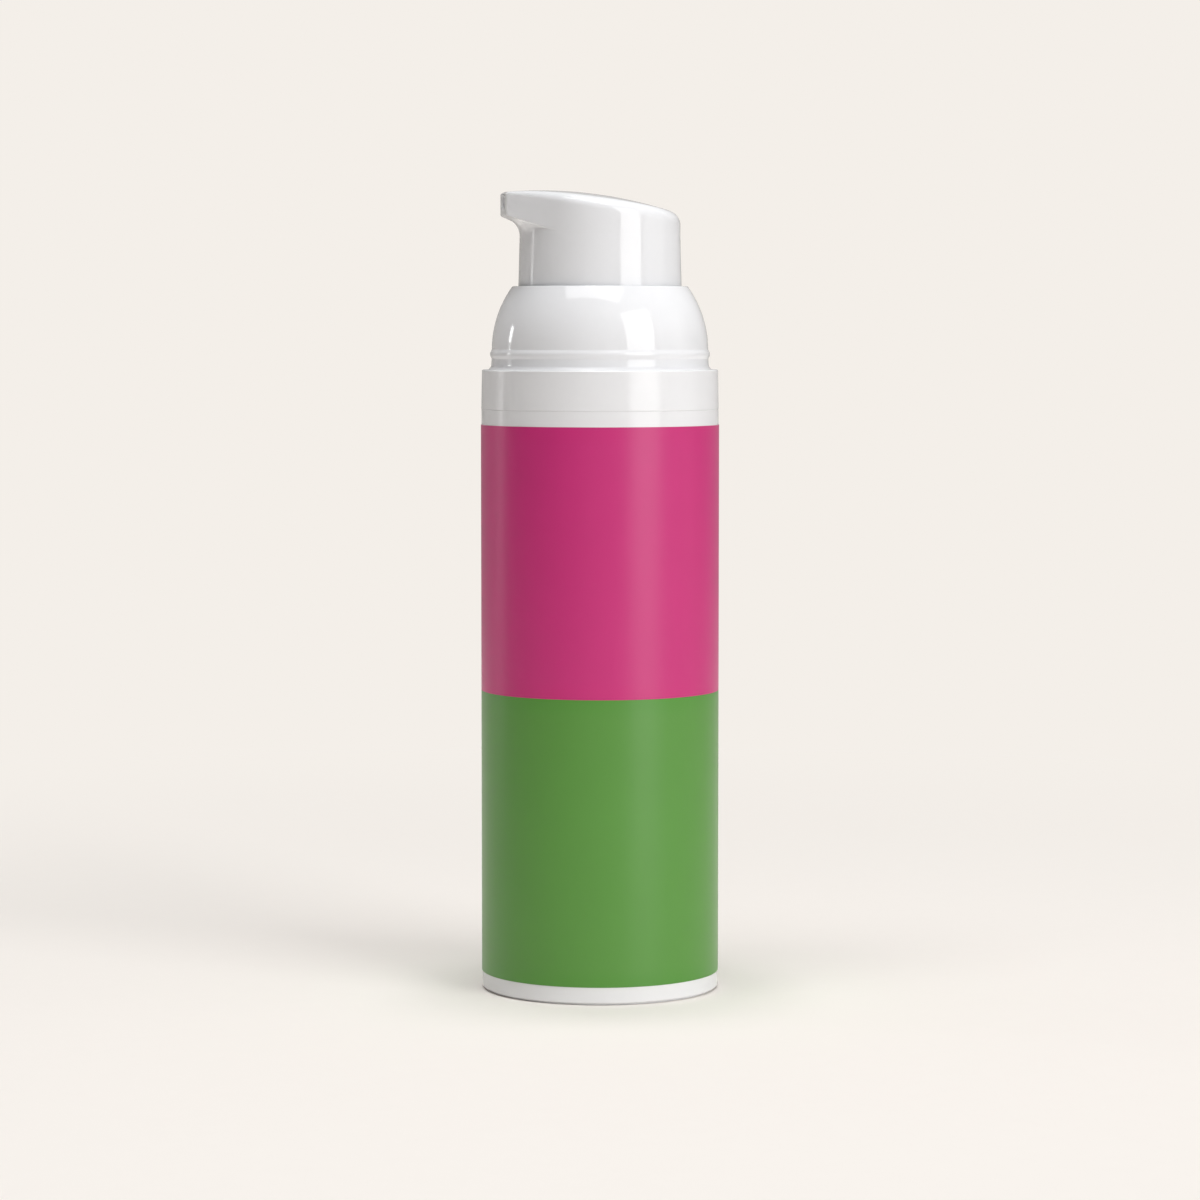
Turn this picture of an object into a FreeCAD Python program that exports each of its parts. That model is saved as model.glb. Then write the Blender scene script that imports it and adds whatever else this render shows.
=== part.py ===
import FreeCAD, Part
import math
import os
import re

import Sketcher

# Airless pump bottle. It stands on z = 0 with its axis on Z and its spout along -X, in millimetres.
# Every size that can be set by itself is one cell of the sheet. PLACES says what follows from them.

SIZES = {
    # Body tube
    "sleeve_radius": "18.4",
    "sleeve_wall": "1.0",
    "sleeve_height": "90.4",
    "sleeve_foot_round": "0.5",
    "sleeve_lip_thickness": "1.4",
    # Wrap-around films, glued on the body tube
    "film_glue_gap": "0.02",
    "film_thickness": "0.08",
    "film_foot": "2.75",
    "film_boundary_share": "0.5155",
    "film_top_margin": "2.4",
    # Cartridge that holds the product, inside the body tube
    "cartridge_gap": "0.3",
    "cartridge_wall": "1.0",
    "shoulder_thickness": "1.4",
    "neck_play": "0.6",
    "neck_wall": "1.2",
    "neck_height": "5.0",
    "neck_bead_proud": "0.4",
    "neck_bead_width": "0.8",
    "neck_bead_rise": "2.6",
    # Base cap that closes the bottom
    "base_recess": "0.6",
    "base_floor": "1.2",
    "base_ring_wall": "1.0",
    "base_ring_depth": "3.7",
    "vent_radius": "1.0",
    "base_rib_count": "6",
    "base_rib_width": "1.2",
    "base_rib_height": "1.15",
    "base_rib_start": "2.5",
    "base_rib_setback": "3.05",
    # Follower piston
    "follower_rest_gap": "0.05",
    "lip_gap": "0.05",
    "well_play": "2.6",
    "follower_wall": "1.2",
    "crown_height": "15.4",
    "rim_setback": "1.7",
    "rim_foot_rise": "4.0",
    "lip_width": "1.0",
    "lip_slope": "1.2",
    # Collar ring
    "collar_height": "6.1",
    "collar_foot_proud": "0.03",
    "collar_taper": "0.12",
    "collar_edge": "0.2",
    # Domed closure
    "moulded_gap": "0.05",
    "closure_skirt_inset": "0.7",
    "closure_skirt_wall": "1.2",
    "closure_foot_gap": "0.3",
    "catch_proud": "0.5",
    "catch_width": "1.0",
    "overcap_ledge": "1.41",
    "dome_foot_step": "0.12",
    "dome_centre_rise": "3.0",
    "dome_rise_share": "0.5864",
    "dome_wall": "1.2",
    "dome_mouth_land": "0.542",
    "dome_mouth_round": "0.3",
    "deck_thickness": "1.2",
    "overcap_bead_wire": "0.45",
    "overcap_bead_proud": "0.2",
    "overcap_bead_rise": "2.45",
    # Neck gasket and pump housing
    "gasket_thickness": "0.8",
    "flange_thickness": "1.2",
    "housing_skirt_wall": "1.0",
    "housing_skirt_depth": "5.8",
    "cylinder_bore": "3.8",
    "cylinder_wall": "1.0",
    "pocket_wall": "1.6",
    "port_radius": "1.0",
    "port_depth": "2.2",
    # Inlet ball and its retainer
    "ball_radius": "1.5",
    "ball_gap": "0.05",
    "ball_play": "0.4",
    "ball_lift": "0.9",
    "retainer_thickness": "0.8",
    "retainer_hole_radius": "0.6",
    "retainer_hole_place": "2.4",
    "retainer_hole_count": "4",
    # Strokes
    "stroke": "6.0",
    "lost_motion": "0.6",
    "stroke_end_gap": "0.2",
    "seal_head_room": "1.5",
    # Metering piston and valve rod
    "seal_lip_gap": "0.03",
    "seal_waist_step": "0.32",
    "seal_lip_width": "0.7",
    "seal_hub_bore": "1.5",
    "seal_skirt_wall": "0.65",
    "seal_recess_depth": "1.3",
    "seal_height": "4.2",
    "seal_groove_width": "0.45",
    "seal_groove_depth": "1.0",
    "valve_gap": "0.05",
    "valve_head_play": "0.5",
    "valve_head_height": "1.0",
    "valve_rod_radius": "0.9",
    "valve_fin_fit": "0.1",
    "valve_fin_width": "0.8",
    "valve_fin_length": "4.5",
    # Stem
    "stem_radius": "2.5",
    "stem_bore": "1.3",
    "stem_seat_margin": "0.4",
    "stem_seat_thickness": "0.8",
    "stem_bead_proud": "0.12",
    "stem_bead_width": "0.6",
    "stem_bead_rise": "3.0",
    "stem_head_height": "6.0",
    # Guide cap and return spring
    "running_gap": "0.04",
    "guide_plug_depth": "3.6",
    "guide_flange_radius": "7.2",
    "guide_flange_thickness": "1.2",
    "guide_collar_wall": "0.86",
    "guide_collar_height": "1.8",
    "spring_wire_radius": "0.4",
    "spring_fit": "0.3",
    "spring_turns": "5",
    "spring_end_gap": "0.1",
    # Pump head: inner core
    "head_gap": "0.1",
    "socket_wall": "1.36",
    "socket_roof": "1.5",
    "channel_radius": "1.2",
    "core_disc_rise": "0.6",
    "core_disc_thickness": "1.0",
    "core_rib_count": "4",
    "core_rib_width": "1.0",
    "core_rib_height": "3.0",
    "duct_radius": "1.4",
    "duct_bore": "0.8",
    "duct_lift": "0.4",
    # Pump head: outer shell
    "skirt_foot_gap": "0.4",
    "head_play": "0.25",
    "skirt_taper": "0.36",
    "skirt_root_rise": "7.95",
    "skirt_ledge": "0.5",
    "shell_wall": "1.2",
    "roof_rise": "0.91",
    "snap_ridge_proud": "0.25",
    "snap_ridge_width": "0.5",
    "spout_overhang": "2.66",
    "spout_tip_half": "3.5",
    "spout_foot_rise": "10.86",
    "spout_slope": "0.36",
    "head_rise": "14.72",
    "crown_fall": "3.743",
    "crown_peak_share": "0.2106",
    "crown_round": "1.6",
    "tip_round": "0.4",
    "mouth_half_width": "1.6",
    "mouth_half_height": "1.08",
    "mouth_rise": "12.96",
    "mouth_depth": "2.2",
    "mouth_corner": "0.7",
    # Nozzle insert
    "insert_inset": "0.8",
    "insert_bore": "0.6",
    # Cuts run this far past the solid that they cut
    "overrun": "1.0",
}

PLACES = {
    "sleeve_bore": "sleeve_radius - sleeve_wall",
    "shoulder_top": "sleeve_height - sleeve_lip_thickness",
    "sleeve_lip_bore": "closure_skirt_radius + 2 * moulded_gap",
    "film_top": "sleeve_height - film_top_margin",
    "film_boundary": "film_foot + film_boundary_share * (film_top - film_foot)",
    "film_inner": "sleeve_radius + film_glue_gap",
    "film_outer": "film_inner + film_thickness",
    "cartridge_radius": "sleeve_bore - cartridge_gap",
    "cartridge_bore": "cartridge_radius - cartridge_wall",
    "cartridge_foot": "base_recess + base_floor",
    "shoulder_underside": "shoulder_top - shoulder_thickness",
    "neck_radius": "closure_skirt_bore - neck_play",
    "neck_bore": "neck_radius - neck_wall",
    "neck_top": "shoulder_top + neck_height",
    "neck_bead_foot": "shoulder_top + neck_bead_rise",
    "neck_bead_top": "neck_bead_foot + neck_bead_width",
    "base_rib_top": "cartridge_foot + base_rib_height",
    "base_ring_radius": "cartridge_bore - moulded_gap",
    "base_ring_bore": "base_ring_radius - base_ring_wall",
    "base_rib_end": "base_ring_bore - base_rib_setback",
    "follower_foot": "base_rib_top + follower_rest_gap",
    "well_radius": "cylinder_radius + well_play",
    "rim_radius": "cartridge_bore - rim_setback",
    "crown_top": "follower_foot + crown_height",
    "crown_underside": "crown_top - follower_wall",
    "lip_radius": "cartridge_bore - lip_gap",
    "rim_foot": "follower_foot + rim_foot_rise",
    "collar_top": "sleeve_height + collar_height",
    "collar_foot_radius": "sleeve_radius + collar_foot_proud",
    "collar_top_radius": "collar_foot_radius - collar_taper",
    "collar_bore": "closure_skirt_radius + moulded_gap",
    "dome_foot_radius": "collar_top_radius - overcap_ledge",
    "closure_skirt_radius": "dome_foot_radius - closure_skirt_inset",
    "closure_skirt_bore": "closure_skirt_radius - closure_skirt_wall",
    "closure_foot": "shoulder_top + closure_foot_gap",
    "catch_bore": "closure_skirt_bore - catch_proud",
    "catch_top": "neck_bead_foot - moulded_gap",
    "catch_foot": "catch_top - catch_width",
    "gasket_top": "neck_top + gasket_thickness",
    "flange_top": "gasket_top + flange_thickness",
    "deck_top": "flange_top + deck_thickness",
    "dome_centre": "collar_top + dome_centre_rise",
    "dome_top": "dome_centre + dome_rise_share * dome_radius",
    "dome_radius": "dome_foot_radius - dome_foot_step",
    "dome_inner": "dome_radius - dome_wall",
    "dome_mouth_radius": "dome_radius * sqrt(1 - dome_rise_share^2) - dome_mouth_land",
    "dome_mouth_foot": "dome_centre + sqrt(dome_inner^2 - dome_mouth_radius^2)",
    "overcap_bead_height": "collar_top + overcap_bead_rise",
    "guide_hole": "guide_flange_radius + moulded_gap",
    "cylinder_radius": "cylinder_bore + cylinder_wall",
    "pocket_bore": "ball_radius + ball_play",
    "pocket_radius": "pocket_bore + pocket_wall",
    "ball_seat_rise": "sqrt(ball_radius^2 - port_radius^2)",
    "pocket_depth": "ball_gap + ball_seat_rise + ball_radius + ball_lift + ball_gap",
    "seal_top": "flange_top - guide_plug_depth - seal_head_room",
    "seal_foot": "seal_top - seal_height",
    "seal_seat": "seal_foot + seal_recess_depth",
    "seal_lip_radius": "cylinder_bore - seal_lip_gap",
    "seal_waist": "seal_lip_radius - seal_waist_step",
    "seal_groove_outer": "seal_waist - seal_lip_width",
    "seal_groove_inner": "seal_groove_outer - seal_groove_width",
    "seal_recess_radius": "seal_waist - seal_skirt_wall",
    "valve_head_radius": "seal_recess_radius - valve_head_play",
    "valve_head_top": "seal_seat - valve_gap",
    "valve_head_foot": "valve_head_top - valve_head_height",
    "retainer_top": "valve_head_foot - stroke - stroke_end_gap",
    "cylinder_floor": "retainer_top - retainer_thickness",
    "pocket_floor": "cylinder_floor - pocket_depth",
    "port_foot": "pocket_floor - port_depth",
    "retainer_radius": "cylinder_bore - moulded_gap",
    "ball_height": "pocket_floor + ball_gap + ball_seat_rise",
    "stem_foot": "seal_top + lost_motion",
    "valve_rod_top": "stem_foot + valve_fin_length",
    "valve_fin_half": "stem_bore - valve_fin_fit",
    "guide_bore": "stem_radius + running_gap",
    "guide_collar_radius": "guide_bore + guide_collar_wall",
    "guide_plug_radius": "cylinder_bore - moulded_gap",
    "guide_top": "flange_top + guide_flange_thickness",
    "skirt_root": "dome_top + skirt_root_rise",
    "shell_roof": "skirt_root + roof_rise",
    "core_top": "shell_roof - 2 * head_gap",
    "socket_top": "core_top - socket_roof",
    "stem_top": "socket_top - head_gap",
    "stem_seat_top": "stem_top - stem_head_height",
    "stem_seat_foot": "stem_seat_top - stem_seat_thickness",
    "spring_radius": "guide_collar_radius + spring_fit + spring_wire_radius",
    "stem_seat_radius": "spring_radius + spring_wire_radius + stem_seat_margin",
    "spring_length": "stem_seat_foot - guide_top - 2 * spring_end_gap",
    "stem_bead_foot": "stem_seat_top + stem_bead_rise",
    "stem_bead_top": "stem_bead_foot + stem_bead_width",
    "spring_pitch": "(spring_length - 2 * spring_wire_radius) / spring_turns",
    "core_foot": "stem_seat_top + head_gap",
    "socket_bore": "stem_radius + running_gap",
    "socket_radius": "socket_bore + socket_wall",
    "core_disc_foot": "core_foot + core_disc_rise",
    "core_disc_top": "core_disc_foot + core_disc_thickness",
    "skirt_foot": "deck_top + stroke + skirt_foot_gap",
    "skirt_foot_radius": "dome_mouth_radius - head_play",
    "skirt_root_radius": "skirt_foot_radius - skirt_taper",
    "skirt_bore": "skirt_root_radius - shell_wall + skirt_ledge",
    "shell_bore": "skirt_root_radius - shell_wall",
    "skirt_cap": "spout_foot",
    "spout_reach": "skirt_root_radius + spout_overhang",
    "spout_foot": "dome_top + spout_foot_rise",
    "head_top": "dome_top + head_rise",
    "mouth_centre": "dome_top + mouth_rise",
    "core_disc_radius": "skirt_bore - moulded_gap",
    "mouth_floor": "spout_reach - mouth_depth",
    "duct_root": "core_top + duct_lift",
    "duct_slope": "(mouth_centre - duct_root) / spout_reach",
    "duct_end": "shell_bore - 3 * head_gap",
    "duct_slot_end": "duct_end + head_gap",
    "duct_slot_half": "duct_radius + head_gap",
    "duct_slot_rise": "duct_slot_half * sqrt(1 + duct_slope^2)",
    "insert_half_width": "mouth_half_width - moulded_gap",
    "insert_half_height": "mouth_half_height - moulded_gap",
    "insert_face": "spout_reach - insert_inset",
    "insert_length": "mouth_depth - insert_inset - moulded_gap",
    "crown_peak_reach": "spout_reach - crown_peak_share * (spout_reach + skirt_root_radius)",
    "crown_run": "skirt_root_radius + crown_peak_reach",
    "crown_curve_radius": "(crown_run^2 + crown_fall^2) / (2 * crown_fall)",
    "crown_centre": "head_top - crown_curve_radius",
    "spout_back": "spout_reach + overrun",
    "head_back": "skirt_root_radius + overrun",
    "spout_far": "sqrt(spout_reach^2 + spout_tip_half^2)",
    "spout_swing": "sqrt(spout_far^2 - skirt_root_radius^2)",
    "flank_reach": "skirt_root_radius * (skirt_root_radius * spout_reach - spout_swing * spout_tip_half)"
                   " / spout_far^2",
    "flank_half": "skirt_root_radius * (skirt_root_radius * spout_tip_half + spout_swing * spout_reach)"
                  " / spout_far^2",
}

FULL_TURN = 360.0
LEAST_EDGE_MATCH = 0.01

doc = FreeCAD.newDocument("AirlessPumpBottle")
sheet = doc.addObject("Spreadsheet::Sheet", "Sizes")
for row, (alias, number) in enumerate(SIZES.items(), start=1):
    sheet.set("A%d" % row, alias)
    sheet.set("B%d" % row, number)
    sheet.setAlias("B%d" % row, alias)
doc.recompute()


def bind(text):
    """The expression with each name of PLACES spelled out and each size pointed at the sheet."""
    def spell(match):
        word = match.group()
        if word in PLACES:
            return "(" + bind(PLACES[word]) + ")"
        if word in SIZES:
            return "Sizes." + word
        return word
    return re.sub(r"[a-z][a-z_]*", spell, text)


def value(text):
    """The length or count that an expression in these names gives now."""
    return float(sheet.evalExpression(bind(text)))


def new_body(label):
    """An empty body under the node's name, placed in the bottle's own frame."""
    body = doc.addObject("PartDesign::Body", label)
    body.Label = label
    body.Placement = FreeCAD.Placement()
    return body


def origin_feature(body, role):
    """Plane or axis of the body's own origin."""
    return next(feature for feature in body.Origin.OriginFeatures if feature.Role == role)


def place_corner(corners, index, before):
    """Place of one corner. A coordinate that is None lies on the arc that leads to the corner."""
    across, up = corners[index][:2]
    if across is not None and up is not None:
        return FreeCAD.Vector(value(across), value(up), 0)
    start = place_corner(corners, before, before - 1)
    centre = FreeCAD.Vector(value(corners[before][2]), value(corners[before][3]), 0)
    radius = start.distanceToPoint(centre)
    if across is None:
        rise = value(up) - centre.y
        side = math.copysign(math.sqrt(radius**2 - rise**2), start.x - centre.x)
        return FreeCAD.Vector(centre.x + side, value(up), 0)
    run = value(across) - centre.x
    side = math.copysign(math.sqrt(radius**2 - run**2), start.y - centre.y)
    return FreeCAD.Vector(value(across), centre.y + side, 0)


def fix_point(sketch, run, end, across, up):
    """Hold one point of the sketch at the place that two expressions give."""
    for kind, axis, text in (("DistanceX", -2, across), ("DistanceY", -1, up)):
        if text is None:
            continue
        number = value(text)
        if number == 0:
            sketch.addConstraint(Sketcher.Constraint("PointOnObject", run, end, axis))
            continue
        index = sketch.addConstraint(Sketcher.Constraint(kind, -1, 1, run, end, number))
        sketch.setExpression("Constraints[%d]" % index, bind(text))


def draw_outline(body, name, plane, corners, offset="0"):
    """Closed sketch. A corner is (across, up), with the centre (across, up) of an arc that follows it."""
    sketch = body.newObject("Sketcher::SketchObject", name)
    sketch.AttachmentSupport = [(origin_feature(body, plane), "")]
    sketch.MapMode = "FlatFace"
    sketch.setExpression("AttachmentOffset.Base.z", bind(offset))
    places = [place_corner(corners, index, index - 1) for index in range(len(corners))]
    ends = []
    for run, corner in enumerate(corners):
        start = places[run]
        finish = places[(run + 1) % len(corners)]
        if len(corner) == 2:
            sketch.addGeometry(Part.LineSegment(start, finish))
            ends.append((1, 2))
            continue
        centre = FreeCAD.Vector(value(corner[2]), value(corner[3]), 0)
        circle = Part.Circle(centre, FreeCAD.Vector(0, 0, 1), start.distanceToPoint(centre))
        first = circle.parameter(start)
        last = circle.parameter(finish)
        forward = (last - first) % (2 * math.pi) <= math.pi
        arc = (first, last) if forward else (last, first)
        sketch.addGeometry(Part.ArcOfCircle(circle, *arc))
        ends.append((1, 2) if forward else (2, 1))
    for run, corner in enumerate(corners):
        after = (run + 1) % len(corners)
        sketch.addConstraint(Sketcher.Constraint("Coincident", run, ends[run][1], after, ends[after][0]))
        fix_point(sketch, run, ends[run][0], *corner[:2])
        if len(corner) > 2:
            fix_point(sketch, run, 3, *corner[2:])
    return sketch


def draw_circle(body, name, plane, across, up, radius, offset="0"):
    """Sketch of one circle."""
    sketch = body.newObject("Sketcher::SketchObject", name)
    sketch.AttachmentSupport = [(origin_feature(body, plane), "")]
    sketch.MapMode = "FlatFace"
    sketch.setExpression("AttachmentOffset.Base.z", bind(offset))
    centre = FreeCAD.Vector(value(across), value(up), 0)
    sketch.addGeometry(Part.Circle(centre, FreeCAD.Vector(0, 0, 1), value(radius)))
    index = sketch.addConstraint(Sketcher.Constraint("Radius", 0, value(radius)))
    sketch.setExpression("Constraints[%d]" % index, bind(radius))
    fix_point(sketch, 0, 3, across, up)
    return sketch


def turn(body, name, sketch, kind="PartDesign::Revolution"):
    """Turn a sketch round the bottle's axis, as a solid or, with a groove, as a cut."""
    feature = body.newObject(kind, name)
    feature.Profile = sketch
    feature.ReferenceAxis = (origin_feature(body, "Z_Axis"), [""])
    feature.Angle = FULL_TURN
    return feature


def turned_body(label, corners):
    """A body turned from one closed outline of (radius, height) corners."""
    body = new_body(label)
    turn(body, label + "_turned", draw_outline(body, label + "_section", "XZ_Plane", corners))
    return body


def push(body, name, sketch, length, side="One side", kind="PartDesign::Pad", back=False):
    """Push a sketch along its normal, as a pad or a pocket."""
    feature = body.newObject(kind, name)
    feature.Profile = sketch
    feature.SideType = side
    feature.Reversed = back
    feature.setExpression("Length", bind(length))
    return feature


def repeat_round(body, name, feature, count):
    """Repeat a feature evenly round the bottle's axis."""
    pattern = body.newObject("PartDesign::PolarPattern", name)
    pattern.Originals = [feature]
    pattern.Axis = (origin_feature(body, "Z_Axis"), [""])
    pattern.Angle = FULL_TURN
    pattern.setExpression("Occurrences", bind(count))
    body.Tip = pattern
    return pattern


def round_edges(body, name, radius, picked):
    """Round the edges of the body's shape that the test picks."""
    doc.recompute()
    before = body.Tip
    edges = enumerate(before.Shape.Edges, start=1)
    names = ["Edge%d" % number for number, edge in edges if picked(edge)]
    fillet = body.newObject("PartDesign::Fillet", name)
    fillet.Base = (before, names)
    fillet.setExpression("Radius", bind(radius))
    return fillet


def near(first, second):
    """Whether two lengths are the same but for rounding."""
    return abs(first - second) < LEAST_EDGE_MATCH


def ring_edge(radius, height):
    """Test that picks the circular edge of this radius at this height."""
    def picked(edge):
        box = edge.BoundBox
        level = near(box.ZMin, value(height)) and near(box.ZMax, value(height))
        return level and near(box.XMax, value(radius))
    return picked


def duct_height(reach):
    """Expression for the height of the duct's centre line at a reach towards the spout."""
    return "duct_root + duct_slope * (%s)" % reach


def oblique_tube(body, name, radius, near_reach, far_reach, kind="PartDesign::AdditiveLoft"):
    """Round bar or bore along the duct's sloping centre line, between two reaches towards the spout."""
    ends = []
    for end, reach in (("near", near_reach), ("far", far_reach)):
        sketch_name = "%s_%s" % (name, end)
        height = duct_height(reach)
        ends.append(draw_circle(body, sketch_name, "YZ_Plane", "0", height, radius, "-(%s)" % reach))
    loft = body.newObject(kind, name)
    loft.Profile = ends[0]
    loft.Sections = [(ends[1], [""])]
    return loft


def outer_sleeve():
    """Straight body tube with an inward lip that hangs on the cartridge's shoulder."""
    body = turned_body("outer_sleeve", [
        ("sleeve_bore", "0"),
        ("sleeve_radius", "0"),
        ("sleeve_radius", "sleeve_height"),
        ("sleeve_lip_bore", "sleeve_height"),
        ("sleeve_lip_bore", "shoulder_top"),
        ("sleeve_bore", "shoulder_top"),
    ])
    round_edges(body, "sleeve_foot_rounding", "sleeve_foot_round", ring_edge("sleeve_radius", "0"))
    return body


def film_band(label, foot, top):
    """One glued film that wraps the body tube."""
    return turned_body(label, [
        ("film_inner", foot),
        ("film_outer", foot),
        ("film_outer", top),
        ("film_inner", top),
    ])


def inner_cartridge():
    """Straight-bored vial, open below, with a shoulder and a beaded neck above."""
    return turned_body("inner_cartridge", [
        ("cartridge_bore", "cartridge_foot"),
        ("cartridge_radius", "cartridge_foot"),
        ("cartridge_radius", "shoulder_top"),
        ("neck_radius", "shoulder_top"),
        ("neck_radius", "neck_bead_foot"),
        ("neck_radius + neck_bead_proud", "neck_bead_foot"),
        ("neck_radius", "neck_bead_top"),
        ("neck_radius", "neck_top"),
        ("neck_bore", "neck_top"),
        ("neck_bore", "shoulder_underside"),
        ("cartridge_bore", "shoulder_underside"),
    ])


def base_cap():
    """Recessed disc with a plug ring, a vent in the middle and ribs that the follower stands on."""
    body = turned_body("base_cap", [
        ("vent_radius", "base_recess"),
        ("sleeve_bore - moulded_gap", "base_recess"),
        ("sleeve_bore - moulded_gap", "cartridge_foot"),
        ("base_ring_radius", "cartridge_foot"),
        ("base_ring_radius", "cartridge_foot + base_ring_depth"),
        ("base_ring_bore", "cartridge_foot + base_ring_depth"),
        ("base_ring_bore", "cartridge_foot"),
        ("vent_radius", "cartridge_foot"),
    ])
    half = "0.5 * base_rib_width"
    rib_plan = draw_outline(body, "base_rib_plan", "XY_Plane", [
        ("base_rib_start", "-" + half),
        ("base_rib_end", "-" + half),
        ("base_rib_end", half),
        ("base_rib_start", half),
    ], "base_recess")
    rib = push(body, "base_rib", rib_plan, "base_floor + base_rib_height")
    repeat_round(body, "base_ribs", rib, "base_rib_count")
    return body


def follower_piston():
    """Piston with two wiper lips, dished to clear the pump cylinder when the bottle is empty."""
    return turned_body("follower_piston", [
        ("0", "follower_foot"),
        ("well_radius + follower_wall", "follower_foot"),
        ("well_radius + follower_wall", "crown_underside"),
        ("rim_radius - follower_wall", "crown_underside"),
        ("rim_radius - follower_wall", "rim_foot"),
        ("lip_radius", "rim_foot"),
        ("lip_radius", "rim_foot + lip_width"),
        ("rim_radius", "rim_foot + lip_width + lip_slope"),
        ("rim_radius", "crown_top - lip_width - lip_slope"),
        ("lip_radius", "crown_top - lip_width"),
        ("lip_radius", "crown_top"),
        ("well_radius", "crown_top"),
        ("well_radius", "follower_foot + follower_wall"),
        ("0", "follower_foot + follower_wall"),
    ])


def collar_ring():
    """Tapered trim ring between the body tube and the domed closure."""
    body = turned_body("collar_ring", [
        ("collar_bore", "sleeve_height"),
        ("collar_foot_radius", "sleeve_height"),
        ("collar_top_radius", "collar_top"),
        ("collar_bore", "collar_top"),
    ])
    round_edges(body, "collar_top_rounding", "collar_edge", ring_edge("collar_top_radius", "collar_top"))
    return body


def dome_closure():
    """Spherical shoulder with an overcap bead, a deck that clamps the pump and a skirt with a catch."""
    body = turned_body("dome_closure", [
        ("guide_hole", "flange_top"),
        ("closure_skirt_bore", "flange_top"),
        ("closure_skirt_bore", "catch_top"),
        ("catch_bore", "catch_top"),
        ("closure_skirt_bore", "catch_foot"),
        ("closure_skirt_bore", "closure_foot"),
        ("closure_skirt_radius", "closure_foot"),
        ("closure_skirt_radius", "collar_top"),
        ("dome_foot_radius", "collar_top"),
        ("dome_foot_radius", "overcap_bead_height"),
        ("dome_radius", "overcap_bead_height"),
        ("dome_radius", "dome_centre", "0", "dome_centre"),
        (None, "dome_top"),
        ("dome_mouth_radius", "dome_top"),
        ("dome_mouth_radius", "dome_mouth_foot", "0", "dome_centre"),
        (None, "dome_centre"),
        ("dome_inner", "deck_top"),
        ("guide_hole", "deck_top"),
    ])
    bead_centre = "dome_foot_radius + overcap_bead_proud - overcap_bead_wire"
    bead = draw_circle(body, "bead_section", "XZ_Plane", bead_centre, "overcap_bead_height",
                       "overcap_bead_wire")
    turn(body, "overcap_bead", bead)
    round_edges(body, "mouth_rounding", "dome_mouth_round", ring_edge("dome_mouth_radius", "dome_top"))
    return body


def neck_gasket():
    """Flat washer between the neck and the pump's flange."""
    return turned_body("neck_gasket", [
        ("neck_bore", "neck_top"),
        ("neck_radius", "neck_top"),
        ("neck_radius", "gasket_top"),
        ("neck_bore", "gasket_top"),
    ])


def pump_housing():
    """Flange, plug skirt and cylinder in one piece, with the ball's pocket and the inlet port below."""
    return turned_body("pump_housing", [
        ("port_radius", "port_foot"),
        ("pocket_radius", "port_foot"),
        ("pocket_radius", "cylinder_floor - cylinder_wall"),
        ("cylinder_radius", "cylinder_floor"),
        ("cylinder_radius", "gasket_top"),
        ("neck_bore - moulded_gap - housing_skirt_wall", "gasket_top"),
        ("neck_bore - moulded_gap - housing_skirt_wall", "gasket_top - housing_skirt_depth"),
        ("neck_bore - moulded_gap", "gasket_top - housing_skirt_depth"),
        ("neck_bore - moulded_gap", "gasket_top"),
        ("neck_radius", "gasket_top"),
        ("neck_radius", "flange_top"),
        ("cylinder_bore", "flange_top"),
        ("cylinder_bore", "cylinder_floor"),
        ("pocket_bore", "cylinder_floor"),
        ("pocket_bore", "pocket_floor"),
        ("port_radius", "pocket_floor"),
    ])


def ball_retainer():
    """Washer on the cylinder's floor that stops the ball and lets the product past through holes."""
    body = turned_body("ball_retainer", [
        ("0", "cylinder_floor"),
        ("retainer_radius", "cylinder_floor"),
        ("retainer_radius", "retainer_top"),
        ("0", "retainer_top"),
    ])
    plan = draw_circle(body, "flow_hole_plan", "XY_Plane", "retainer_hole_place", "0",
                       "retainer_hole_radius", "retainer_top + overrun")
    hole = push(body, "flow_hole", plan, "retainer_thickness + 2 * overrun", kind="PartDesign::Pocket")
    repeat_round(body, "flow_holes", hole, "retainer_hole_count")
    return body


def inlet_ball():
    """Steel ball that closes the inlet port."""
    ball = doc.addObject("Part::Sphere", "inlet_ball")
    ball.Label = "inlet_ball"
    ball.setExpression("Radius", bind("ball_radius"))
    ball.setExpression("Placement.Base.z", bind("ball_height"))
    return ball


def metering_piston():
    """Lip seal that slides in the cylinder, with the outlet valve's seat inside."""
    return turned_body("metering_piston", [
        ("seal_recess_radius", "seal_foot"),
        ("seal_lip_radius", "seal_foot"),
        ("seal_lip_radius", "seal_foot + seal_lip_width"),
        ("seal_waist", "seal_foot + 2 * seal_lip_width"),
        ("seal_waist", "seal_top - 2 * seal_lip_width"),
        ("seal_lip_radius", "seal_top - seal_lip_width"),
        ("seal_lip_radius", "seal_top"),
        ("seal_groove_outer", "seal_top"),
        ("seal_groove_outer", "seal_top - seal_groove_depth"),
        ("seal_groove_inner", "seal_top - seal_groove_depth"),
        ("seal_groove_inner", "seal_top"),
        ("seal_hub_bore", "seal_top"),
        ("seal_hub_bore", "seal_seat"),
        ("seal_recess_radius", "seal_seat"),
    ])


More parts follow.
